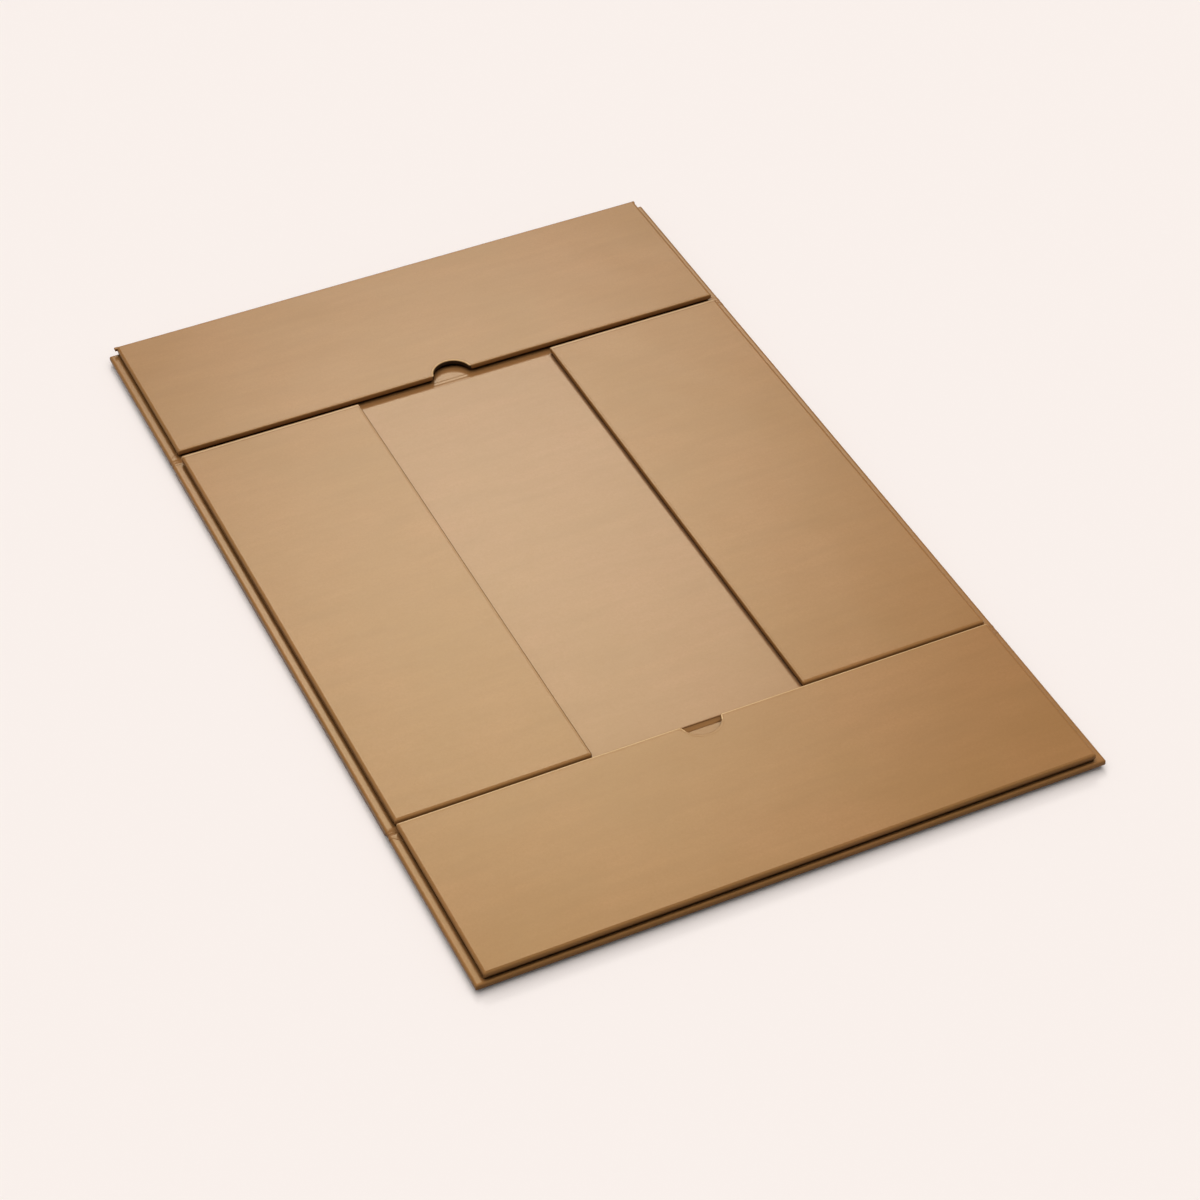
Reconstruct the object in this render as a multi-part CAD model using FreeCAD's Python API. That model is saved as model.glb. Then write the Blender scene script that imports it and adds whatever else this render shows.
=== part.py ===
import FreeCAD, Part
import os

# Collapsible storage box of paper-covered board, opened flat with its walls down.
# X runs across the box and Y from the near end to the far end. Z is up, and the origin
# is on the floor under the middle. All lengths are in mm.

# Driving dimensions
BOARD = 3.0                 # thickness of the rigid boards
UNDERLAY = 2.0              # thickness of the board under the base
BOX_WIDTH = 300.0           # base and end walls, along X
BASE_DEPTH = 278.8          # base board between its two hinge grooves, along Y
HINGE_GROOVE = 1.8          # gap between the base board and each end wall
WALL_HEIGHT = 95.1          # end walls, from groove to rim
UNDERLAY_DEPTH = 273.0      # board under the base, along Y
UNDERLAY_INSET = 0.3        # how far it stays inside the base board's long edges
INNER_BASE = 1.0            # thickness of the sheet on top of the base board
INNER_BASE_DEPTH = 274.4
SIDE_WALL_LENGTH = 276.2    # side walls, along Y
SIDE_WALL_HEIGHT = 93.3     # from the side hinge to the free edge
SIDE_WALL_GAP = 0.05        # between the inner base panel and the folded side walls
SIDE_HINGE_X = 145.3        # line that the side walls turn about
RIM_PANEL_WIDTH = 291.0     # rim panels, along X
RIM_PANEL_HEIGHT = 94.8     # from the free edge to the rim edge
RIM_PANEL_GAP = 1.0         # between an end wall and the rim panel folded over it
FAR_RIM_OVERHANG = 0.8      # the far rim panel passes its wall's rim
NEAR_RIM_INSET = 1.3        # the near rim panel stops short of its wall's rim
NOTCH_WIDTH = 19.2          # thumb notch, at the free edge
NOTCH_DEPTH = 8.7
NOTCH_LIP_RADIUS = 1.5      # where the notch meets the free edge
CORNER_RADIUS = 1.0         # board corners, seen from above
EDGE_RADIUS = 0.9           # paper turned round the base and end walls' edges
PANEL_EDGE_RADIUS = 0.5     # the same round the side walls and rim panels
UNDERLAY_EDGE_RADIUS = 0.5  # the same round the underlay
SHEET_EDGE_RADIUS = 0.3     # the same round the inner base panel
PAPER = 0.2                 # covering and lining sheets
HINGE_PAPER = 0.3
SHEET_MARGIN = 1.0          # bare border round a covering or lining sheet
RIM_STRIP = 3.2             # width of the hinge paper glued along a rim

# Levels and lines worked out from them
BASE_BOTTOM = UNDERLAY
BASE_TOP = BASE_BOTTOM + BOARD
SIDE_WALL_BOTTOM = BASE_TOP + INNER_BASE + SIDE_WALL_GAP
RIM_PANEL_BOTTOM = BASE_TOP + RIM_PANEL_GAP
HALF_WIDTH = BOX_WIDTH / 2
HALF_BASE = BASE_DEPTH / 2
WALL_START = HALF_BASE + HINGE_GROOVE
RIM = WALL_START + WALL_HEIGHT
FAR = 1
NEAR = -1
LEFT = -1
RIGHT = 1


def slab(x_ends, y_ends, bottom, thickness):
    """A plain block. The ends of each range may come in either order."""
    x_low, x_high = sorted(x_ends)
    y_low, y_high = sorted(y_ends)
    corner = FreeCAD.Vector(x_low, y_low, bottom)
    return Part.makeBox(x_high - x_low, y_high - y_low, thickness, corner)


def upright_edges(shape):
    return [e for e in shape.Edges if e.BoundBox.ZLength > 0.5 * shape.BoundBox.ZLength]


def level_edges(shape):
    return [e for e in shape.Edges if e.BoundBox.ZLength < 0.01]


def soften(shape, edge_radius):
    """Round the corners seen from above, then the long edges that the paper turns round."""
    cornered = shape.makeFillet(CORNER_RADIUS, upright_edges(shape))
    return cornered.makeFillet(edge_radius, level_edges(cornered))


def base_board():
    y_ends = (-HALF_BASE, HALF_BASE)
    return soften(slab((-HALF_WIDTH, HALF_WIDTH), y_ends, BASE_BOTTOM, BOARD), EDGE_RADIUS)


def base_underlay():
    half_x = HALF_WIDTH - UNDERLAY_INSET
    half_y = UNDERLAY_DEPTH / 2
    underlay = slab((-half_x, half_x), (-half_y, half_y), 0.0, UNDERLAY)
    return soften(underlay, UNDERLAY_EDGE_RADIUS)


def inner_base_panel():
    half_y = INNER_BASE_DEPTH / 2
    sheet = slab((-SIDE_HINGE_X, SIDE_HINGE_X), (-half_y, half_y), BASE_TOP, INNER_BASE)
    return soften(sheet, SHEET_EDGE_RADIUS)


def end_wall(end):
    y_ends = (end * WALL_START, end * RIM)
    return soften(slab((-HALF_WIDTH, HALF_WIDTH), y_ends, BASE_BOTTOM, BOARD), EDGE_RADIUS)


def side_wall_ends():
    """Inner and outer lines of a folded side wall, as distances from the middle."""
    return SIDE_HINGE_X - SIDE_WALL_HEIGHT, SIDE_HINGE_X


def side_wall(side):
    inner, outer = side_wall_ends()
    half_y = SIDE_WALL_LENGTH / 2
    wall = slab((side * inner, side * outer), (-half_y, half_y), SIDE_WALL_BOTTOM, BOARD)
    return soften(wall, PANEL_EDGE_RADIUS)


def side_cover(side):
    """Paper sheet on the face of a side wall that is outside when it stands."""
    inner, outer = side_wall_ends()
    x_ends = (side * (inner + SHEET_MARGIN), side * (outer - SHEET_MARGIN))
    half_y = SIDE_WALL_LENGTH / 2 - SHEET_MARGIN
    return slab(x_ends, (-half_y, half_y), SIDE_WALL_BOTTOM + BOARD, PAPER)


def rim_panel_ends(end):
    """Free edge and rim edge of a rim panel, as distances from the middle."""
    rim_edge = RIM + FAR_RIM_OVERHANG if end == FAR else RIM - NEAR_RIM_INSET
    return rim_edge - RIM_PANEL_HEIGHT, rim_edge


def thumb_notch(end, bottom, height, grow):
    """The round cutter of a thumb notch, which breaks through the panel's free edge."""
    free_edge, _ = rim_panel_ends(end)
    radius = ((NOTCH_WIDTH / 2) ** 2 + NOTCH_DEPTH ** 2) / (2 * NOTCH_DEPTH)
    centre = FreeCAD.Vector(0, end * (free_edge + NOTCH_DEPTH - radius), bottom)
    return Part.makeCylinder(radius + grow, height, centre)


def near_the_notch(edge):
    return abs(edge.BoundBox.Center.x) < NOTCH_WIDTH


def rim_panel(end):
    """Panel hinged at an end wall's rim and folded in over the wall."""
    half_x = RIM_PANEL_WIDTH / 2
    free_edge, rim_edge = rim_panel_ends(end)
    panel = slab((-half_x, half_x), (end * free_edge, end * rim_edge), RIM_PANEL_BOTTOM, BOARD)
    notched = panel.cut(thumb_notch(end, RIM_PANEL_BOTTOM, BOARD, 0.0))
    lips = [e for e in upright_edges(notched) if near_the_notch(e)]
    eased = notched.makeFillet(NOTCH_LIP_RADIUS, lips)
    corners = [e for e in upright_edges(eased) if not near_the_notch(e)]
    cornered = eased.makeFillet(CORNER_RADIUS, corners)
    return cornered.makeFillet(PANEL_EDGE_RADIUS, level_edges(cornered))


def rim_lining(end):
    """Paper sheet on the upper face of a rim panel, cut back round the thumb notch."""
    half_x = RIM_PANEL_WIDTH / 2 - SHEET_MARGIN
    free_edge, rim_edge = rim_panel_ends(end)
    y_ends = (end * (free_edge + SHEET_MARGIN), end * (rim_edge - SHEET_MARGIN))
    bottom = RIM_PANEL_BOTTOM + BOARD
    sheet = slab((-half_x, half_x), y_ends, bottom, PAPER)
    return sheet.cut(thumb_notch(end, bottom, PAPER, SHEET_MARGIN))


def base_hinge(end):
    """Paper strip in the groove between the base board and an end wall, glued to the base."""
    middle_level = BASE_BOTTOM + BOARD / 2
    y_ends = (end * HALF_BASE, end * (WALL_START - HINGE_PAPER))
    half_x = HALF_WIDTH - CORNER_RADIUS
    return slab((-half_x, half_x), y_ends, middle_level, HINGE_PAPER)


def side_hinge(side):
    """Paper strip that stands on the base board along the inner base panel's edge."""
    x_ends = (side * SIDE_HINGE_X, side * (SIDE_HINGE_X + HINGE_PAPER))
    half_y = INNER_BASE_DEPTH / 2 - CORNER_RADIUS
    return slab(x_ends, (-half_y, half_y), BASE_TOP, INNER_BASE - SIDE_WALL_GAP)


def rim_hinge(end):
    """Paper strip glued to the end wall along its rim, inside the fold."""
    outer = RIM - EDGE_RADIUS
    half_x = RIM_PANEL_WIDTH / 2
    return slab((-half_x, half_x), (end * (outer - RIM_STRIP), end * outer), BASE_TOP, HINGE_PAPER)


nodes = {
    "base_board": base_board(),
    "base_underlay": base_underlay(),
    "inner_base_panel": inner_base_panel(),
    "far_end_wall": end_wall(FAR),
    "near_end_wall": end_wall(NEAR),
    "left_side_wall": side_wall(LEFT),
    "right_side_wall": side_wall(RIGHT),
    "left_side_cover": side_cover(LEFT),
    "right_side_cover": side_cover(RIGHT),
    "far_rim_panel": rim_panel(FAR),
    "near_rim_panel": rim_panel(NEAR),
    "far_rim_lining": rim_lining(FAR),
    "near_rim_lining": rim_lining(NEAR),
    "far_base_hinge": base_hinge(FAR),
    "near_base_hinge": base_hinge(NEAR),
    "left_side_hinge": side_hinge(LEFT),
    "right_side_hinge": side_hinge(RIGHT),
    "far_rim_hinge": rim_hinge(FAR),
    "near_rim_hinge": rim_hinge(NEAR),
}

os.makedirs("parts", exist_ok=True)
for name, shape in nodes.items():
    shape.exportStep(f"parts/{name}.step")
    print(name, shape.isValid(), round(shape.Volume, 1), shape.BoundBox)
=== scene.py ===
import math

import bmesh
import bpy
from mathutils import Matrix, Vector, noise
from mathutils.geometry import delaunay_2d_cdt


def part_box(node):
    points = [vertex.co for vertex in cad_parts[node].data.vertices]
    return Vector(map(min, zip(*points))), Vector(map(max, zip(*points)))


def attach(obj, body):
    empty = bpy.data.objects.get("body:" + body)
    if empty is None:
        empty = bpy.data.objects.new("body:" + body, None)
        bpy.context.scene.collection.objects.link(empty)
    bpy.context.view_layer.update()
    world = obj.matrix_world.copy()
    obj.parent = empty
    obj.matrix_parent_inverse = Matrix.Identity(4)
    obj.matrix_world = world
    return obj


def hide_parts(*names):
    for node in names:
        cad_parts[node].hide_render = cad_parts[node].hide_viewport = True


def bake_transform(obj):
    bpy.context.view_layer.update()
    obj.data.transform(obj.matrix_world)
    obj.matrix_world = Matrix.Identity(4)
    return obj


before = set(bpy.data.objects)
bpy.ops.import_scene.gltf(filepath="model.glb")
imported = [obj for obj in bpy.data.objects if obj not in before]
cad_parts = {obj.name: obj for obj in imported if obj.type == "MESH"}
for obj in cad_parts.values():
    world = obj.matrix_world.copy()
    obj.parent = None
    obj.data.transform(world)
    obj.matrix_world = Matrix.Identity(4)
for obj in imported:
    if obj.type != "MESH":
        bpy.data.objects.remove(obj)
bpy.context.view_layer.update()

# Collapsible storage box of paper-covered board, opened flat with its walls down. X runs
# across the box, and Y from the near end to the far end. Lengths are in metres. The tables of
# radii, growths and profiles are in mm, and say so.

MM = 0.001
FAR = 1
NEAR = -1
BASE_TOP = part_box("base_board")[1].z


# ---------------------------------------------------------------- rings round a board

CORNER_STEPS = 4            # steps of each arc: a corner seen from above
LIP_STEPS = 5               # a thumb notch's lip
NOTCH_STEPS = 24            # the notch itself
EDGE_STEPS = 4              # a rounded edge, seen from its end
SMALLEST = 0.02 * MM        # least radius, so that every ring keeps all its points
FLAT_BAND = 0.35 * MM       # first ring of a flat face, in from its edge


class Board:
    """A board's box, its corners seen from above, and the radius of each rounded long edge."""

    def __init__(self, box, corner, edges, notch=None):
        self.low, self.high = (Vector(corner_point) for corner_point in box)
        self.corner = corner
        self.edges = dict(zip(("left", "right", "near", "far"), edges))
        self.notch = notch


class Notch:
    """A round thumb notch in the edge that faces the middle of the box."""

    def __init__(self, end, width, depth, lip):
        self.end = end
        self.depth = depth
        self.lip = lip
        self.radius = ((width / 2) ** 2 + depth ** 2) / (2 * depth)


def arc(centre, radius, start, end, steps):
    """Points of an arc from one angle to another, in degrees, both ends included."""
    points = []
    for k in range(steps + 1):
        angle = math.radians(start + (end - start) * k / steps)
        points.append((centre[0] + radius * math.cos(angle),
                       centre[1] + radius * math.sin(angle)))
    return points


def notch_points(notch, free_edge, moved):
    """The notch in a free edge on the near side, from its left lip to its right one."""
    centre = free_edge + notch.depth - notch.radius
    lip = max(notch.lip - moved, SMALLEST)
    radius = notch.radius + moved
    lip_y = free_edge + moved + lip
    lip_x = math.sqrt((radius + lip) ** 2 - (lip_y - centre) ** 2)
    turn = math.degrees(math.atan2(lip_y - centre, lip_x))
    return (arc((-lip_x, lip_y), lip, 270, 360 - turn, LIP_STEPS)
            + arc((0, centre), radius, 180 - turn, turn, NOTCH_STEPS)[1:-1]
            + arc((lip_x, lip_y), lip, 180 + turn, 270, LIP_STEPS))


def key_points(board, turn, further=0.0):
    """Corner and notch points of one ring, where turn goes from 0 at the board's side face
    to a right angle at its flat face. Each point has its own drop below that face. The last
    ring can lie further in on the flat face."""
    flip = board.notch is not None and board.notch.end < 0
    near, far = ("far", "near") if flip else ("near", "far")
    moved = {side: r * (1 - math.cos(turn)) + further for side, r in board.edges.items()}
    drop = {side: r * (1 - math.sin(turn)) for side, r in board.edges.items()}
    low_y, high_y = (-board.high.y, -board.low.y) if flip else (board.low.y, board.high.y)
    x0, x1 = board.low.x + moved["left"], board.high.x - moved["right"]
    y0, y1 = low_y + moved[near], high_y - moved[far]
    corners = (("left", near, x0, y0, 180), (near, "right", x1, y0, 270),
               ("right", far, x1, y1, 0), (far, "left", x0, y1, 90))
    points = []
    for before, after, x, y, start in corners:
        r = max(board.corner - min(moved[before], moved[after]), SMALLEST)
        centre = (x + r if x == x0 else x - r, y + r if y == y0 else y - r)
        for k, (px, py) in enumerate(arc(centre, r, start, start + 90, CORNER_STEPS)):
            share = k / CORNER_STEPS
            points.append(Vector((px, py, drop[before] * (1 - share) + drop[after] * share)))
        if start == 180 and board.notch:
            for px, py in notch_points(board.notch, low_y, moved[near]):
                points.append(Vector((px, py, drop[near])))
    if flip:
        points = [Vector((p.x, -p.y, p.z)) for p in reversed(points)]
    return points


def run_steps(points, spacing):
    """How many steps each run between two key points is divided into."""
    pairs = zip(points, points[1:] + points[:1])
    return [max(1, round((b - a).length / spacing)) for a, b in pairs]


def filled(points, steps):
    ring = []
    for k, point in enumerate(points):
        following = points[(k + 1) % len(points)]
        ring += [point.lerp(following, j / steps[k]) for j in range(steps[k])]
    return ring


def board_rings(board, spacing, under):
    """Rings from the edge of the underside, up the side face, to the edge of the top. The
    lower edges all have the radius under. The outermost flat band at each face is narrow,
    so that the shading of the rounded edge ends with it."""
    count = run_steps(key_points(board, 0.0), spacing)
    turns = [(math.radians(90 * k / EDGE_STEPS), 0.0) for k in range(EDGE_STEPS + 1)]
    turns.append((math.pi / 2, FLAT_BAND))
    upper = [filled(key_points(board, *turn), count) for turn in turns]
    upper_edges = board.edges
    board.edges = dict.fromkeys(upper_edges, under)
    lower = [filled(key_points(board, *turn), count) for turn in reversed(turns)]
    board.edges = upper_edges
    return ([[Vector((p.x, p.y, board.low.z + p.z)) for p in ring] for ring in lower]
            + [[Vector((p.x, p.y, board.high.z - p.z)) for p in ring] for ring in upper])


# ---------------------------------------------------------------- meshes

BORDER_CLEARANCE = 0.35     # of the grid's spacing
MERGE_DISTANCE = 1e-9       # how near two points count as one, in triangulation
INSIDE_ONLY = 1             # triangles inside the outline, and none outside
WAVE_SEED = 1               # until a seed is set, the noise takes its start from the clock
SLOW_WAVES = 11             # waves for each metre
QUICK_WAVES = 55
SLOW_SHIFT = 0.10           # the most that a wave moves a point, in mm
QUICK_SHIFT = 0.035
SLOW_STEP = (3.7, 1.3, 0)   # from one seed's waves to the next one's
QUICK_STEP = (5.1, 0, 2.3)
UPRIGHT_SHARE = 0.8         # of the shift that is kept along Z

noise.seed_set(WAVE_SEED)


def inside(point, outline):
    """True if the point is inside the closed outline."""
    result = False
    for k, a in enumerate(outline):
        b = outline[k - 1]
        if (a.y > point.y) != (b.y > point.y):
            if point.x < (b.x - a.x) * (point.y - a.y) / (b.y - a.y) + a.x:
                result = not result
    return result


def inner_points(border, spacing):
    """Grid points inside an outline, kept a little off the outline itself."""
    x0, x1 = min(p.x for p in border), max(p.x for p in border)
    y0, y1 = min(p.y for p in border), max(p.y for p in border)
    columns = round((x1 - x0) / spacing)
    rows = round((y1 - y0) / spacing)
    clear = BORDER_CLEARANCE * spacing
    points = []
    for i in range(1, columns):
        for j in range(1, rows):
            point = Vector((x0 + (x1 - x0) * i / columns, y0 + (y1 - y0) * j / rows))
            around = [Vector((point.x + dx, point.y + dy))
                      for dx in (-clear, clear) for dy in (-clear, clear)]
            if all(inside(p, border) for p in around):
                points.append(point)
    return points


def unevenness(point, seed):
    """The slight waviness of hand-wrapped board, as a shift of one surface point. Each seed
    has waves of its own."""
    slow = Vector(point) * SLOW_WAVES + Vector([seed * step for step in SLOW_STEP])
    quick = Vector(point) * QUICK_WAVES + Vector([seed * step for step in QUICK_STEP])
    shift = (noise.noise_vector(slow) * SLOW_SHIFT * MM
             + noise.noise_vector(quick) * QUICK_SHIFT * MM)
    shift.z *= UPRIGHT_SHARE
    return shift


def finish_mesh(name, vertices, faces, material, smooth=True):
    mesh = bpy.data.meshes.new(name)
    mesh.from_pydata([tuple(v) for v in vertices], [], faces)
    mesh.validate()
    mesh.update()
    for polygon in mesh.polygons:
        polygon.use_smooth = smooth
    mesh.materials.append(material)
    obj = bpy.data.objects.new(name, mesh)
    bpy.context.scene.collection.objects.link(obj)
    return obj


def loft(name, rings, spacing, material, seed, wave):
    """A closed mesh through rings of equal length, with a filled face at each end."""
    count = len(rings[0])
    vertices = [point.copy() for ring in rings for point in ring]
    faces = []
    for ring in range(len(rings) - 1):
        for k in range(count):
            a = ring * count + k
            b = ring * count + (k + 1) % count
            faces.append((a, b, b + count, a + count))
    for first, up in ((0, False), ((len(rings) - 1) * count, True)):
        level = vertices[first].z
        border = [Vector((v.x, v.y)) for v in vertices[first:first + count]]
        inner = inner_points(border, spacing)
        _, _, triangles, _, _, _ = delaunay_2d_cdt(
            border + inner, [], [list(range(count))], INSIDE_ONLY, MERGE_DISTANCE)
        start = len(vertices)
        vertices += [Vector((p.x, p.y, level)) for p in inner]
        for face in triangles:
            corners = [first + i if i < count else start + i - count for i in face]
            faces.append(tuple(corners if up else reversed(corners)))
    vertices = [v + unevenness(v, seed) * wave for v in vertices]
    return finish_mesh(name, vertices, faces, material)


# ---------------------------------------------------------------- materials

def sockets(shader, **values):
    for name, value in values.items():
        shader.inputs[name.replace("_", " ")].default_value = value


def linear(red, green, blue):
    """An 8-bit display colour as the linear colour that a shader takes."""
    channels = [c / 255 for c in (red, green, blue)]
    return tuple(c / 12.92 if c <= 0.04045 else ((c + 0.055) / 1.055) ** 2.4
                 for c in channels) + (1.0,)


class Nodes:
    """Short calls for building one material's node tree."""

    def __init__(self, name):
        self.material = bpy.data.materials.new(name)
        self.material.use_nodes = True
        self.tree = self.material.node_tree
        self.shader = self.tree.nodes["Principled BSDF"]

    def add(self, kind, **settings):
        node = self.tree.nodes.new(kind)
        for key, value in settings.items():
            if hasattr(node, key):
                setattr(node, key, value)
            else:
                node.inputs[key.replace("_", " ")].default_value = value
        return node

    def link(self, source, target):
        self.tree.links.new(source, target)

    def place(self, scale):
        """Object coordinates, stretched for a texture."""
        place = self.add("ShaderNodeTexCoord")
        mapping = self.add("ShaderNodeMapping")
        mapping.inputs["Scale"].default_value = scale
        self.link(place.outputs["Object"], mapping.inputs["Vector"])
        return mapping.outputs["Vector"]

    def noise(self, scale, size, detail, roughness):
        texture = self.add("ShaderNodeTexNoise", Scale=size, Detail=detail, Roughness=roughness)
        self.link(self.place(scale), texture.inputs["Vector"])
        return texture.outputs["Fac"]

    def spread(self, value, low, high, to_low=0.0, to_high=1.0):
        node = self.add("ShaderNodeMapRange", From_Min=low, From_Max=high,
                        To_Min=to_low, To_Max=to_high)
        self.link(value, node.inputs["Value"])
        return node.outputs["Result"]

    def blend(self, factor, first, second):
        """Mixes two colours, each a socket or a constant."""
        node = self.add("ShaderNodeMix", data_type="RGBA")
        for value, name in ((factor, 0), (first, 6), (second, 7)):
            if isinstance(value, (float, int, tuple)):
                node.inputs[name].default_value = value
            else:
                self.link(value, node.inputs[name])
        return node.outputs[2]

    def maths(self, operation, first, second=None):
        node = self.add("ShaderNodeMath", operation=operation)
        for value, name in ((first, 0), (second, 1)):
            if isinstance(value, (float, int)):
                node.inputs[name].default_value = value
            elif value is not None:
                self.link(value, node.inputs[name])
        return node.outputs[0]


# Each texture, as its stretch along X, Y and Z, then its size, detail and roughness
BLOTCH = ((1, 1, 1), 16, 3, 0.55)
GRAIN = ((0.35, 2.2, 1), 60, 4, 0.6)
FIBRE = ((1, 1, 1), 900, 4, 0.7)
SPECK = ((1, 3, 1), 2600, 2, 0.6)

# A range is the two values of a texture between which its effect goes from none to all.
BLOTCH_RANGE = (0.35, 0.68)
GRAIN_RANGE = (0.30, 0.75)
FIBRE_RANGE = (0.30, 0.70)
DARK_SHARE = 0.86           # brightness of the darker tone, of the paper's own
GRAIN_STRENGTH = 0.60       # how far the grain goes to the darker tone
FIBRE_STRENGTH = 0.55
# Painted shade: the paper's colour darkens where an ambient occlusion node finds a crease or gap,
# where shade falls.
CREASE_REACH = 3.0 * MM
CREASE_SHADE_SHARE = 0.03         # brightness of the painted shade deep in a crease, of the paper's own
CREASE_RANGE = (0.33, 0.60)
# Deeper painted shade in creases, for the near end wall
DEEP_SHADE_RANGE = (0.38, 0.73)
# A face on a side wall that faces the near end gets no painted shade.
FACING_RANGE = (-0.2, -0.6)     # along Y, of the direction of a face that faces the near end
ROUGHNESS = 0.245
ROUGHNESS_SPREAD = 0.02
SPECULAR_LEVEL = 0.125
SPECULAR_TINT = (1.0, 0.79, 0.34, 1.0)
BUMP_STRENGTH = 0.20
BUMP_DEPTH = 0.06 * MM
FIBRE_RELIEF = 0.6          # shares of the fibre and the speck in the bump
SPECK_RELIEF = 0.4

SHEET_STOP = 0.7            # how far a side wall's sheet stops short of its far edge, in mm
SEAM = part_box("left_side_cover")[1].y - SHEET_STOP * MM
# The dark line where a side wall's sheet stops is painted shade, as in a narrow groove at the
# sheet's edge. The same dark tone draws the line along the left wall's free edge.
SEAM_AND_SHADE_DARK = linear(120, 80, 45)
# The paler band beyond the seam, towards the far edge, is a painted highlight.
FAR_EDGE_HIGHLIGHT = linear(215, 180, 135)
SEAM_LINE = (0.10 * MM, 0.35 * MM)      # half widths of the line's core and of its soft edge
SEAM_STRENGTH = 0.55
HIGHLIGHT_START = (0.3 * MM, 0.6 * MM)       # where the painted highlight starts, beyond the seam
HIGHLIGHT_STRENGTH = 0.30
RIM_INSET = 0.2             # from the left side wall's free edge, in mm
LEFT_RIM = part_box("left_side_wall")[1].x - RIM_INSET * MM
RIM_LINE = (0.10 * MM, 0.32 * MM)
RIM_STRENGTH = 0.80


def toned(colour, share):
    return tuple(c * share for c in colour[:3]) + (1.0,)


def line_along(n, tone, coordinate, place, widths, strength):
    """A dark line painted where a coordinate has the value place."""
    off = n.maths("ABSOLUTE", n.maths("SUBTRACT", coordinate, place))
    return n.blend(n.spread(off, *widths, strength, 0.0), tone, SEAM_AND_SHADE_DARK)


def with_seam(n, tone):
    """A side wall's lines: painted shade in a dark line where its sheet stops, as in a narrow
    groove, with a painted highlight on a paler band beyond, and a dark line where the left
    wall's free edge begins to turn down."""
    split = n.add("ShaderNodeSeparateXYZ")
    n.link(n.place((1, 1, 1)), split.inputs[0])
    across, along = split.outputs["X"], split.outputs["Y"]
    # A dark line of painted shade where the sheet stops
    tone = line_along(n, tone, along, SEAM, SEAM_LINE, SEAM_STRENGTH)
    # A painted highlight on the band beyond the seam, towards the far edge
    beyond = n.spread(along, *(SEAM + start for start in HIGHLIGHT_START))
    tone = n.blend(n.maths("MULTIPLY", beyond, HIGHLIGHT_STRENGTH), tone, FAR_EDGE_HIGHLIGHT)
    return line_along(n, tone, across, LEFT_RIM, RIM_LINE, RIM_STRENGTH)


def open_share(n, crease_range, side_wall):
    """How open a spot is, from 0 deep in a crease to 1, which sets how much painted shade it
    gets. A side wall's edge that faces the near rim panel counts as open, so that the painted
    shade in the narrow gap there is a thin line and not a dark band."""
    crease = n.add("ShaderNodeAmbientOcclusion", samples=4, Distance=CREASE_REACH)
    share = n.spread(crease.outputs["AO"], *crease_range)
    if side_wall:
        facing = n.add("ShaderNodeSeparateXYZ")
        n.link(n.add("ShaderNodeTexCoord").outputs["Normal"], facing.inputs[0])
        share = n.maths("MAXIMUM", share, n.spread(facing.outputs["Y"], *FACING_RANGE))
    return share


def kraft_paper(name, colour, blush, roughness=ROUGHNESS, side_wall=False,
                crease_range=CREASE_RANGE):
    """Smooth kraft covering paper: soft blotches, a slow grain across the sheet and fine
    fibre, with painted shade deep in a crease."""
    n = Nodes(name)
    blotch, grain, fibre, speck = (n.noise(*kind) for kind in (BLOTCH, GRAIN, FIBRE, SPECK))
    darker = toned(colour, DARK_SHARE)
    tone = n.blend(n.spread(blotch, *BLOTCH_RANGE), colour, blush)
    tone = n.blend(n.spread(grain, *GRAIN_RANGE, 0.0, GRAIN_STRENGTH), tone, darker)
    tone = n.blend(n.spread(fibre, *FIBRE_RANGE, 0.0, FIBRE_STRENGTH), tone, darker)
    # Painted shade deep in creases and gaps
    tone = n.blend(open_share(n, crease_range, side_wall), toned(colour, CREASE_SHADE_SHARE), tone)
    if side_wall:
        tone = with_seam(n, tone)
    n.link(tone, n.shader.inputs["Base Color"])
    n.link(n.spread(fibre, *FIBRE_RANGE, roughness - ROUGHNESS_SPREAD,
                    roughness + ROUGHNESS_SPREAD), n.shader.inputs["Roughness"])
    sockets(n.shader, Specular_IOR_Level=SPECULAR_LEVEL, Specular_Tint=SPECULAR_TINT)
    relief = n.maths("ADD", n.maths("MULTIPLY", fibre, FIBRE_RELIEF),
                     n.maths("MULTIPLY", speck, SPECK_RELIEF))
    bump = n.add("ShaderNodeBump", Strength=BUMP_STRENGTH, Distance=BUMP_DEPTH)
    n.link(relief, bump.inputs["Height"])
    n.link(bump.outputs["Normal"], n.shader.inputs["Normal"])
    return n.material


COVER_COLOURS = (linear(158, 112, 65), linear(165, 115, 70))
COVER = kraft_paper("cover_paper", *COVER_COLOURS)
SIDE = kraft_paper("side_cover_paper", *COVER_COLOURS, side_wall=True)
# The near end wall's copy of the cover paper has deeper painted shade, so that the gap under the
# near rim panel and the strip in front of it paint darker.
DEEP_SHADE_COVER = kraft_paper("deep_shade_cover_paper", *COVER_COLOURS, crease_range=DEEP_SHADE_RANGE)
LINING = kraft_paper("lining_paper", linear(164, 121, 82), linear(169, 123, 87))
HINGE = kraft_paper("hinge_paper", linear(155, 109, 65), linear(160, 112, 69))
# Painted highlight: paler paper for the notch rims and the near panel's free edge, whose edges
# catch the light.
RIM_HIGHLIGHT = kraft_paper("rim_highlight_paper", linear(196, 154, 104), linear(205, 163, 114))
CUT_BOARD = kraft_paper("cut_board", linear(58, 42, 30), linear(70, 50, 36), roughness=0.7)


# ---------------------------------------------------------------- the boards

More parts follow.
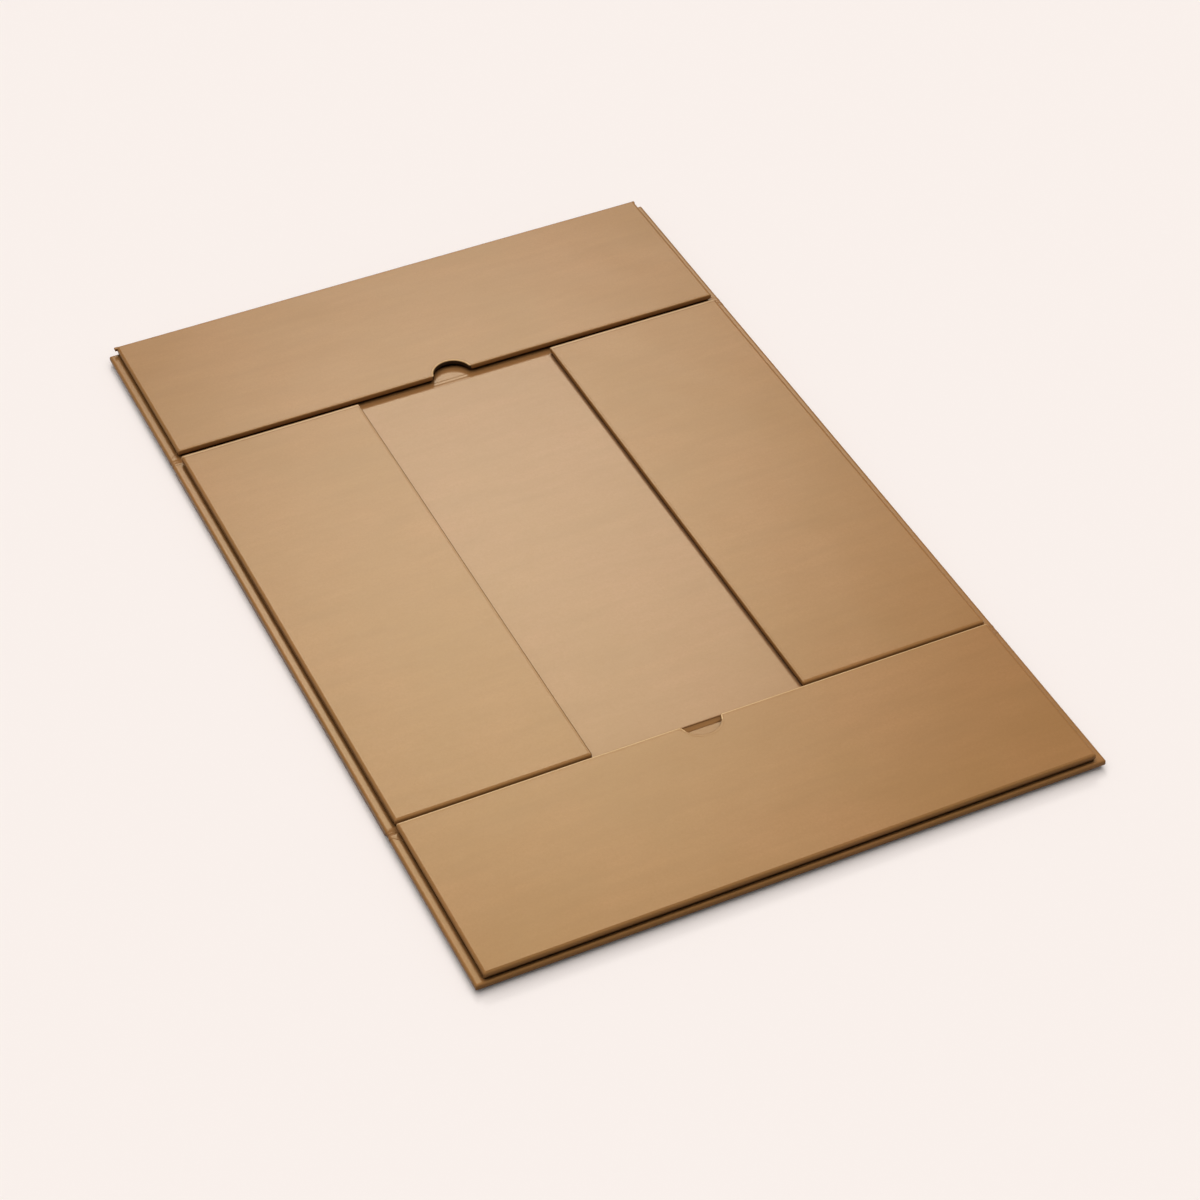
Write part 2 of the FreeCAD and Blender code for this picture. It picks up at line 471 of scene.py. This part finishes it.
GRID = 5 * MM               # size of the mesh on flat faces
CORNER = 0.7 * MM           # radius of a corner seen from above
THUMB_NOTCH = {"width": 19.2 * MM, "depth": 8.7 * MM, "lip": 1.5 * MM}
NO_GROWTH = ((0, 0, 0), (0, 0, 0))
PAPER_REST = 0.17           # up to just under the sheet on a side wall or rim panel, in mm
SIDE_GROWTH = ((0, -0.2, 0), (0, 0.2, PAPER_REST))
FLAT_WAVE = 0.5             # share of the waves on the boards that lie lowest

NOTCH_START = 0.1 * MM      # from the free edge
NOTCH_REACH = 12 * MM       # from the notch's middle and from the free edge
HIGHLIGHT_REACH = {FAR: 12 * MM, NEAR: 3.5 * MM}       # from the free edge
WALL_TILT = 0.75            # a face that looks up or down less than this is the cut wall
RIM_TILT = 0.3              # one that looks up more than this can get the painted highlight
CUT_SLOT = 1                # of the piece's materials
HIGHLIGHT_SLOT = 2


def dress(piece, node, body):
    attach(piece, body)
    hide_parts(node)


def board(node, body, material, seed, edges, under, end=0, grow=NO_GROWTH, wave=1.0):
    """A board covered in paper that turns round its edges. The upper edges' radii are for
    the left, right, near and far side, and under is the lower edges' radius, all in mm. A
    rim panel's notch faces away from its end. grow moves the lowest and highest corners from
    the plain board's, in mm, such as up to just under a sheet of paper on the board."""
    radii = [r * MM for r in edges]
    notch = Notch(end, **THUMB_NOTCH) if end else None
    shape = Board(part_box(node), CORNER, radii, notch)
    shape.low += Vector(grow[0]) * MM
    shape.high += Vector(grow[1]) * MM
    rings = board_rings(shape, GRID, under * MM)
    piece = loft(node + "_dressed", rings, GRID, material, seed, wave)
    if notch:
        finish_notch(piece, shape)
    dress(piece, node, body)


def finish_notch(piece, shape):
    """Bare board shows on the cut wall of a thumb notch, and a painted highlight makes the
    paper paler along its rim and along the near panel's free edge."""
    piece.data.materials.append(CUT_BOARD)
    piece.data.materials.append(RIM_HIGHLIGHT)
    end = shape.notch.end
    near = end == NEAR
    free_edge = end * (shape.high.y if near else shape.low.y)
    centre = free_edge + shape.notch.depth - shape.notch.radius
    rim = shape.edges["far" if near else "near"] + FLAT_BAND
    for polygon in piece.data.polygons:
        x, y = polygon.center.x, end * polygon.center.y
        lift = polygon.normal.z
        by_notch = abs(x) < NOTCH_REACH and free_edge + NOTCH_START < y < free_edge + NOTCH_REACH
        if by_notch and abs(lift) < WALL_TILT:
            polygon.material_index = CUT_SLOT
        from_notch = math.hypot(x, y - centre) - shape.notch.radius
        on_notch_rim = from_notch < rim and NOTCH_START < y - free_edge < HIGHLIGHT_REACH[end]
        # Painted highlight along the notch's rim and the near panel's free edge
        if lift > RIM_TILT and (on_notch_rim or (near and y < free_edge + rim)):
            polygon.material_index = HIGHLIGHT_SLOT


# A side wall or rim panel has the same seed as its sheet, so that the two wave as one.
board("base_board", "base", COVER, 1, (1.0, 1.0, 0.6, 0.6), 0.8, wave=FLAT_WAVE)
board("base_underlay", "base", COVER, 2, (0.5, 0.5, 0.5, 0.5), 0.5, wave=FLAT_WAVE)
board("inner_base_panel", "base", LINING, 3, (0.3, 0.3, 0.3, 0.25), 0.2,
      grow=((0.95, -0.5, 0), (-0.95, 0, 0)))
board("far_end_wall", "far_wall", COVER, 4, (1.0, 1.0, 0.6, 1.0), 0.8, wave=FLAT_WAVE)
board("near_end_wall", "near_wall", DEEP_SHADE_COVER, 5, (1.0, 1.0, 1.0, 0.6), 0.8, wave=FLAT_WAVE)
board("left_side_wall", "left_wall", SIDE, 6, (1.0, 0.45, 1.1, 0.45), 1.4, grow=SIDE_GROWTH)
board("right_side_wall", "right_wall", SIDE, 7, (0.5, 0.9, 1.1, 0.45), 1.4, grow=SIDE_GROWTH)
board("far_rim_panel", "far_panel", COVER, 8, (1.1, 0.8, 0.5, 1.1), 1.5, FAR,
      ((0, 0, 0), (0, 0, PAPER_REST)))
board("near_rim_panel", "near_panel", COVER, 9, (1.1, 0.8, 1.3, 0.3), 1.5, NEAR,
      ((0, 0, 0), (0, 0.35, PAPER_REST)))


# ---------------------------------------------------------------- covering and lining sheets

# Rings of a sheet, as (distance in from its border, height over the board), in mm
SHEET_RISE = ((0.0, 0.05), (0.0, 0.185), (0.03, 0.2), (0.3, 0.2))
LINING_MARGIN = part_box("far_rim_lining")[0].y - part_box("far_rim_panel")[0].y


def sheet_notch(end):
    """A sheet's notch runs parallel to its board's, one margin further out."""
    if not end:
        return None
    notch = Notch(end, **THUMB_NOTCH)
    notch.radius += LINING_MARGIN
    notch.lip = max(notch.lip - LINING_MARGIN, SMALLEST)
    return notch


def sheet(node, body, material, seed, end=0, far=0.0):
    """A sheet of paper glued to a board. far is how far it stops short of its far edge, in
    mm."""
    whole = Board(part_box(node), CORNER, (0, 0, 0, 0), sheet_notch(end))
    whole.high.y -= far * MM
    count = run_steps(key_points(whole, 0.0), GRID)
    rings = []
    for distance, height in SHEET_RISE:
        whole.edges = dict.fromkeys(whole.edges, distance * MM)
        ring = filled(key_points(whole, math.pi / 2), count)
        rings.append([Vector((p.x, p.y, whole.low.z + height * MM)) for p in ring])
    piece = loft(node + "_dressed", rings, GRID, material, seed, 1.0)
    dress(piece, node, body)


sheet("left_side_cover", "left_wall", SIDE, 6, far=SHEET_STOP)
sheet("right_side_cover", "right_wall", SIDE, 7, far=SHEET_STOP)
sheet("far_rim_lining", "far_panel", COVER, 8, FAR)
sheet("near_rim_lining", "near_panel", COVER, 9, NEAR)


# ---------------------------------------------------------------- hinge papers

HINGE_THICK = 0.08          # in mm
STRIP_STEP = 4 * MM         # along a strip
CURVE_STEPS = 4             # between two points of a profile
WRAP_ANGLES = (90, 70, 45, 20, 0)       # round a board's rounded end, in degrees


def curved(points):
    """A smooth line through the points, in the plane across a strip."""
    ends = [points[0]] + list(points) + [points[-1]]
    line = []
    for a, b, c, d in zip(ends, ends[1:], ends[2:], ends[3:]):
        for k in range(CURVE_STEPS):
            t = k / CURVE_STEPS
            line.append(tuple(0.5 * (2 * q + (r - p) * t + (2 * p - 5 * q + 4 * r - s) * t ** 2
                                     + (3 * q - p - 3 * r + s) * t ** 3)
                              for p, q, r, s in zip(a, b, c, d)))
    return line + [tuple(points[-1])]


def beside(line, thickness):
    """The line's other side: to its right, one thickness away."""
    shifted = []
    for k, (a, h) in enumerate(line):
        a0, h0 = line[max(k - 1, 0)]
        a1, h1 = line[min(k + 1, len(line) - 1)]
        length = math.hypot(a1 - a0, h1 - h0)
        shifted.append((a + (h1 - h0) / length * thickness, h - (a1 - a0) / length * thickness))
    return shifted


def strip(name, path, line_at, material, seed, wave=0.5):
    """A strip of paper: the line across it, as (across, height) in mm, carried along a path of
    (place, across axis, up axis). line_at gives the line for a place."""
    vertices = []
    for place, across, up in path:
        line = line_at(place)
        section = line + beside(line, HINGE_THICK)[::-1]
        vertices += [place + across * (a * MM) + up * (h * MM) for a, h in section]
    count = len(section)
    faces = []
    for step in range(len(path) - 1):
        for k in range(count):
            a = step * count + k
            b = step * count + (k + 1) % count
            faces.append((a, b, b + count, a + count))
    for first in (0, (len(path) - 1) * count):
        for k in range(len(line) - 1):
            faces.append((first + k, first + k + 1, first + count - 2 - k, first + count - 1 - k))
    vertices = [v + unevenness(v, seed) * wave for v in vertices]
    piece = finish_mesh(name, vertices, faces, material)
    shell = bmesh.new()
    shell.from_mesh(piece.data)
    bmesh.ops.recalc_face_normals(shell, faces=shell.faces)
    shell.to_mesh(piece.data)
    shell.free()
    return piece


def straight_path(half, along, across, place=Vector((0, 0, 0))):
    """A level path with a short step at each end, so that a strip's shading ends with it."""
    inner = half - FLAT_BAND
    steps = round(2 * inner / STRIP_STEP)
    shares = [-half] + [inner * (2 * k / steps - 1) for k in range(steps + 1)] + [half]
    return [(place + along * share, across, Vector((0, 0, 1))) for share in shares]


def wrapped_path(half, top, radius, down, across):
    """Along X over a board's top, and down round the board's rounded ends."""
    edge = half - radius
    level = straight_path(edge - STRIP_STEP, Vector((1, 0, 0)), across, Vector((0, 0, top)))
    right = [(Vector((edge - FLAT_BAND, 0, top)), across, Vector((0, 0, 1)))]
    for angle in WRAP_ANGLES:
        turn = math.radians(angle)
        out = Vector((math.cos(turn), 0, math.sin(turn)))
        right.append((Vector((edge, 0, top - radius)) + out * radius, across, out))
    foot, _, out = right[-1]
    right.append((foot - Vector((0, 0, down)), across, out))
    left = [(Vector((-place.x, 0, place.z)), across, Vector((-up.x, 0, up.z)))
            for place, _, up in reversed(right)]
    return left + level + right


# Profiles of the base hinge papers, as (distance from the middle of the box, height over the
# base board), in mm: flush over the groove or sunk into it, and outside the inner base
# panel's ends plain or crumpled.
BASE_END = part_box("base_board")[1].y / MM
WALL_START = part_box("far_end_wall")[0].y / MM
FLUSH = ((BASE_END - 1.9, 0.09), (BASE_END - 1.0, 0.11), (BASE_END - 0.2, 0.08),
         (BASE_END + 0.5, 0.02), (BASE_END + 1.2, 0.02), (WALL_START, 0.05),
         (WALL_START + 0.4, 0.09), (WALL_START + 1.6, 0.09), (WALL_START + 12, 0.10))
VALLEY = ((BASE_END - 1.6, 0.60), (BASE_END - 1.2, 0.33), (BASE_END - 0.7, 0.10),
          (BASE_END + 0.1, -0.22), (BASE_END + 0.65, -0.50), (BASE_END + 0.95, -0.30),
          (BASE_END + 1.2, 0.06), (WALL_START + 0.5, 0.11), (WALL_START + 12, 0.10))
PLAIN = FLUSH[:-1] + ((WALL_START + 2.4, 0.09),)
CRUMPLE = ((BASE_END - 1.9, 0.09), (BASE_END - 1.2, 0.12), (BASE_END - 0.6, 0.08),
           (BASE_END + 0.2, -0.15), (BASE_END + 0.7, -0.05), (WALL_START - 0.5, -0.35),
           (WALL_START + 0.1, -0.05), (WALL_START + 0.8, 0.12), (WALL_START + 2.4, 0.09))
INNER_PROFILE_END = 143.5 * MM      # along X, on either side
OUTER_PROFILE_START = 146 * MM
CRUMPLE_DEPTH = {"far": 0.5, "near": 1.0}
RIGHT_CRUMPLE = 0.4                 # of the depth at the left

HALF_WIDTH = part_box("base_board")[1].x
END_RADIUS = 1.0 * MM
END_DROP = 0.9 * MM                 # how far a paper runs down a board's end


def mixed(first, second, share):
    return [tuple(p * (1 - share) + q * share for p, q in zip(a, b))
            for a, b in zip(first, second)]


def smooth(value, low, high):
    t = min(max((value - low) / (high - low), 0.0), 1.0)
    return t * t * (3 - 2 * t)


def base_line(name):
    """The far groove is bridged flush. The near one sinks between the inner base panel's ends
    and is creased outside them, more at the left than at the right."""
    middle = {"far": FLUSH, "near": VALLEY}[name]
    depth = CRUMPLE_DEPTH[name]

    def line_at(place):
        outer = mixed(PLAIN, CRUMPLE, depth if place.x < 0 else RIGHT_CRUMPLE * depth)
        share = smooth(abs(place.x), INNER_PROFILE_END, OUTER_PROFILE_START)
        return curved(mixed(middle, outer, share))

    return line_at


def join(piece, node):
    """A hinge paper between the two bodies that it joins, set in place at rest and attached
    to neither.
    """
    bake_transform(piece)
    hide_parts(node)


for name, end in (("far", FAR), ("near", NEAR)):
    path = wrapped_path(HALF_WIDTH, BASE_TOP, END_RADIUS, END_DROP, Vector((0, end, 0)))
    node = name + "_base_hinge"
    piece = strip(node + "_dressed", path, base_line(name), HINGE, 10 + end)
    join(piece, node)

# A side hinge paper starts on the base, turns up in the crease beside the inner base panel
# and goes on round the side wall's lower edge. Its profile is like the base hinges'.
SIDE_LINE = ((145.0, 0.09), (144.7, 0.12), (144.5, 0.30), (144.44, 0.60), (144.48, 0.92),
             (144.72, 1.10), (145.06, 1.36), (145.30, 1.80), (145.38, 2.3), (145.38, 2.9))
SIDE_WAVE = 0.3
HALF_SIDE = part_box("left_side_hinge")[1].y
for name, side in (("left", -1), ("right", 1)):
    path = straight_path(HALF_SIDE, Vector((0, 1, 0)), Vector((side, 0, 0)),
                         Vector((0, 0, BASE_TOP)))
    node = name + "_side_hinge"
    line = curved(SIDE_LINE)
    piece = strip(node + "_dressed", path, lambda place: line, HINGE, 14 + side, SIDE_WAVE)
    join(piece, node)

# A rim hinge paper is folded in two: its lower leaf is glued to the end wall along the rim,
# and its upper leaf to the underside of the rim panel. Its profile is measured from the fold.
RIM_FOLD = {"far": 236.5, "near": 233.9}    # distance from the middle of the box, in mm
RIM_LEAVES = ((-5.0, 0.09), (-2.0, 0.09), (-0.7, 0.12), (-0.1, 0.30), (0.0, 0.50),
              (-0.1, 0.70), (-0.7, 0.88), (-2.0, 0.92), (-5.0, 0.92))
RIM_PAPER_INSET = 0.4 * MM
for name, end in (("far", FAR), ("near", NEAR)):
    fold = RIM_FOLD[name]
    line = curved([(fold + out, height) for out, height in RIM_LEAVES])
    node = name + "_rim_hinge"
    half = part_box(node)[1].x - RIM_PAPER_INSET
    path = straight_path(half, Vector((1, 0, 0)), Vector((0, end, 0)), Vector((0, 0, BASE_TOP)))
    piece = strip(node + "_dressed", path, lambda place: line, HINGE, 18 + end)
    join(piece, node)


# The paper folded round the far panel's rim edge sticks out at the sides, all in mm.
FOLD_END_OUT = {"left": 1.2, "right": 0.4}
FOLD_END_IN = 0.8
FOLD_END_DEPTH = (1.8, 0.1)         # from the panel's rim edge, towards the free edge
FOLD_END_LIFT = 1.2                 # over the panel's underside
FOLD_END_CORNER = 0.4
FOLD_END_EDGE = 0.3
FOLD_END_UNDER = 0.8
FOLD_END_GRID = 1.0
panel_low, panel_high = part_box("far_rim_panel")
for name, side in (("left", -1), ("right", 1)):
    ends = sorted((side * (panel_high.x - FOLD_END_IN * MM),
                   side * (panel_high.x + FOLD_END_OUT[name] * MM)))
    low = Vector((ends[0], panel_high.y - FOLD_END_DEPTH[0] * MM,
                  panel_low.z + FOLD_END_LIFT * MM))
    high = Vector((ends[1], panel_high.y - FOLD_END_DEPTH[1] * MM, panel_high.z))
    shape = Board((low, high), FOLD_END_CORNER * MM, [FOLD_END_EDGE * MM] * 4)
    rings = board_rings(shape, FOLD_END_GRID * MM, FOLD_END_UNDER * MM)
    piece = loft(f"far_rim_fold_{name}", rings, FOLD_END_GRID * MM, COVER, 8, 1.0)
    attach(piece, "far_panel")


# ---------------------------------------------------------------- camera

# Where the camera stands, from the middle of the base board's top, and its three axes
CAMERA_PLACE = (-0.45346, -1.05546, 0.98466 + BASE_TOP)
CAMERA_RIGHT = (0.90672, -0.42130, -0.01941)
CAMERA_UP = (0.29315, 0.59662, 0.7471)
CAMERA_FORWARD = (0.30319, 0.68303, -0.6645)
CAMERA_LENS = 95.97         # focal length and sensor width in mm
CAMERA_SENSOR = 36


def look():
    data = bpy.data.cameras.new("camera")
    data.lens = CAMERA_LENS
    data.sensor_width = CAMERA_SENSOR
    camera = bpy.data.objects.new("camera", data)
    axes = zip(CAMERA_RIGHT, CAMERA_UP, CAMERA_FORWARD, CAMERA_PLACE)
    camera.matrix_world = Matrix([(right, up, -forward, place)
                                  for right, up, forward, place in axes] + [(0, 0, 0, 1)])
    bpy.context.scene.collection.objects.link(camera)
    bpy.context.scene.camera = camera


look()


# ---------------------------------------------------------------- light and floor

BACKGROUND = linear(250, 241, 236)
FLOOR_DULL = (0.17, 0.15, 0.14, 1)      # what the object's sides see of the floor
FLOOR_REACH = 12.0
SUN_AZIMUTH = 21            # degrees from +Y towards +X
SUN_HEIGHT = 42.4           # degrees above the floor
SUN_SPREAD = 13             # degrees across, as a soft box
SUN_LEVEL = 1.05
SUN_MATT = 0.5              # share of its level in diffuse light, which the fill makes up
FILL_AZIMUTH = 4
FILL_HEIGHT = 62
FILL_SPREAD = 25
FILL_LEVEL = 0.40
SKY_LEVELS = {"From Min": 0.5, "From Max": 1.0,     # 30 degrees above the horizon, and 90
              "To Min": 0.20, "To Max": 1.54}


def soft_box(name, azimuth, height, spread, level, gloss):
    """A distant soft box, which either gives the gloss on the paper or lights it evenly."""
    data = bpy.data.lights.new(name, "SUN")
    data.energy = level
    data.angle = math.radians(spread)
    lamp = bpy.data.objects.new(name, data)
    azimuth, height = math.radians(azimuth), math.radians(height)
    towards = Vector((math.sin(azimuth) * math.cos(height),
                      math.cos(azimuth) * math.cos(height), math.sin(height)))
    lamp.rotation_mode = "QUATERNION"
    lamp.rotation_quaternion = towards.to_track_quat("Z", "Y")
    lamp.location = towards
    lamp.visible_glossy = gloss
    lamp.visible_diffuse = not gloss
    bpy.context.scene.collection.objects.link(lamp)


def sky():
    """Dim light from above, dimmer near the horizon. The camera sees the background colour."""
    world = bpy.data.worlds.new("studio")
    bpy.context.scene.world = world
    world.use_nodes = True
    tree = world.node_tree
    background = tree.nodes["Background"]
    place = tree.nodes.new("ShaderNodeTexCoord")
    split = tree.nodes.new("ShaderNodeSeparateXYZ")
    tree.links.new(place.outputs["Generated"], split.inputs[0])
    level = tree.nodes.new("ShaderNodeMapRange")
    level.interpolation_type = "SMOOTHSTEP"
    for socket, value in SKY_LEVELS.items():
        level.inputs[socket].default_value = value
    tree.links.new(split.outputs["Z"], level.inputs["Value"])
    path = tree.nodes.new("ShaderNodeLightPath")
    mix = tree.nodes.new("ShaderNodeMix")
    mix.data_type = "RGBA"
    tree.links.new(path.outputs["Is Camera Ray"], mix.inputs[0])
    tree.links.new(level.outputs["Result"], mix.inputs[6])
    mix.inputs[7].default_value = BACKGROUND
    tree.links.new(mix.outputs[2], background.inputs["Color"])


def floor():
    """A pale floor for the camera, which throws little light back on the object's sides."""
    reach = FLOOR_REACH
    corners = [(-reach, -reach, 0), (reach, -reach, 0), (reach, reach, 0), (-reach, reach, 0)]
    n = Nodes("floor")
    path = n.add("ShaderNodeLightPath")
    seen = n.maths("MAXIMUM", path.outputs["Is Camera Ray"], path.outputs["Is Glossy Ray"])
    pale = n.add("ShaderNodeBsdfDiffuse", Color=BACKGROUND)
    dull = n.add("ShaderNodeBsdfDiffuse", Color=FLOOR_DULL)
    mix = n.add("ShaderNodeMixShader")
    n.link(seen, mix.inputs[0])
    n.link(dull.outputs[0], mix.inputs[1])
    n.link(pale.outputs[0], mix.inputs[2])
    n.link(mix.outputs[0], n.tree.nodes["Material Output"].inputs["Surface"])
    finish_mesh("floor", corners, [(0, 1, 2, 3)], n.material, False)


soft_box("key_gloss", SUN_AZIMUTH, SUN_HEIGHT, SUN_SPREAD, SUN_LEVEL, True)
soft_box("soft_key", SUN_AZIMUTH, SUN_HEIGHT, SUN_SPREAD, SUN_LEVEL * SUN_MATT, False)
soft_box("soft_fill", FILL_AZIMUTH, FILL_HEIGHT, FILL_SPREAD, FILL_LEVEL, False)
sky()
floor()
bpy.context.scene.view_settings.view_transform = "Standard"
